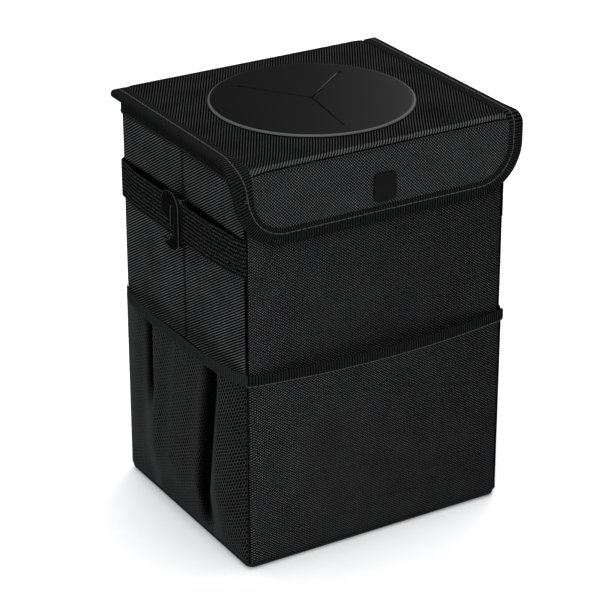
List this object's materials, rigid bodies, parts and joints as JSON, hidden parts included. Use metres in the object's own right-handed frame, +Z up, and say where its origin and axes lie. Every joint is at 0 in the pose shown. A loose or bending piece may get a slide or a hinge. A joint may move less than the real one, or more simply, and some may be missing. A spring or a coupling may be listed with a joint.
{
  "type": "car trash bin",
  "caption": "Soft-sided black car trash bin with a hinged lid, slit rubber valve, front flap, mesh and front pockets, and a hanging strap with hooks.",
  "frame": {"origin": "middle of the base, on the floor", "axes": "+Z up, the front with its flap and pocket faces -Y"},
  "size_m": [0.1822, 0.1531, 0.2418],
  "materials": {
    "outer_fabric": "coarse black woven oxford cloth",
    "binding_tape": "fine ribbed black tape with a grey stitch line",
    "lining_fabric": "plain black lining cloth",
    "stiff_board": "grey polypropylene board",
    "liner_film": "matt grey waterproof film",
    "mesh_net": "black knitted net",
    "elastic_band": "black ribbed elastic",
    "webbing": "black woven webbing",
    "hook_plastic": "black moulded plastic with a slight sheen",
    "valve_rubber": "smooth charcoal rubber, satin",
    "clamp_plastic": "black moulded plastic",
    "hook_and_loop": "black hook and loop tape",
    "tab_rubber": "plain black rubber"
  },
  "bodies": {
    "bin": {"front_panel": "outer_fabric", "back_panel": "outer_fabric", "left_panel": "outer_fabric", "right_panel": "outer_fabric", "base_panel": "outer_fabric", "front_board": "stiff_board", "back_board": "stiff_board", "left_front_board": "stiff_board", "left_rear_board": "stiff_board", "right_front_board": "stiff_board", "right_rear_board": "stiff_board", "base_board": "stiff_board", "liner": "liner_film", "rim_binding": "binding_tape", "front_pocket": "outer_fabric", "front_pocket_binding": "binding_tape", "left_mesh_pocket": "mesh_net", "left_pocket_elastic": "elastic_band", "right_mesh_pocket": "mesh_net", "right_pocket_elastic": "elastic_band", "strap": "webbing", "lid_hinge_strip": "lining_fabric", "loop_patch": "hook_and_loop"},
    "lid": {"lid_panel": "outer_fabric", "lid_board": "stiff_board", "lid_lining": "lining_fabric", "lid_left_binding": "binding_tape", "lid_right_binding": "binding_tape", "valve_ring": "valve_rubber", "valve_clamp": "clamp_plastic"},
    "flap": {"flap_panel": "outer_fabric", "flap_board": "stiff_board", "flap_lining": "lining_fabric", "flap_binding": "binding_tape", "hook_patch": "hook_and_loop", "flap_tab": "tab_rubber"},
    "leaf_1": {"valve_leaf_1": "valve_rubber"},
    "leaf_2": {"valve_leaf_2": "valve_rubber"},
    "leaf_3": {"valve_leaf_3": "valve_rubber"},
    "left_hook": {"left_strap_hook": "hook_plastic"},
    "right_hook": {"right_strap_hook": "hook_plastic"}
  },
  "joints": [
    {"name": "lid_hinge", "type": "hinge", "parent": "bin", "child": "lid", "pos_m": [0, 0.0721, 0.24], "axis": [-1, 0, 0], "range_deg": [0, 240]},
    {"name": "flap_fold", "type": "hinge", "parent": "lid", "child": "flap", "pos_m": [0, -0.0754, 0.24], "axis": [-1, 0, 0], "range_deg": [0, 90]},
    {"name": "leaf_1_flex", "type": "hinge", "parent": "lid", "child": "leaf_1", "pos_m": [0.00483, 0.03228, 0.2418], "axis": [0.989, -0.1478, 0], "range_deg": [0, 75], "stiffness_Nm_per_rad": 0.01},
    {"name": "leaf_2_flex", "type": "hinge", "parent": "lid", "child": "leaf_2", "pos_m": [-0.01642, -0.00379, 0.2418], "axis": [-0.225, 0.9744, 0], "range_deg": [0, 75], "stiffness_Nm_per_rad": 0.01},
    {"name": "leaf_3_flex", "type": "hinge", "parent": "lid", "child": "leaf_3", "pos_m": [0.01421, -0.00837, 0.2418], "axis": [-0.5075, -0.8616, 0], "range_deg": [0, 75], "stiffness_Nm_per_rad": 0.01},
    {"name": "left_hook_slide", "type": "slide", "parent": "bin", "child": "left_hook", "axis": [0, 1, 0], "range_m": [-0.024, 0.046]},
    {"name": "right_hook_slide", "type": "slide", "parent": "bin", "child": "right_hook", "axis": [0, 1, 0], "range_m": [-0.024, 0.046]}
  ]
}
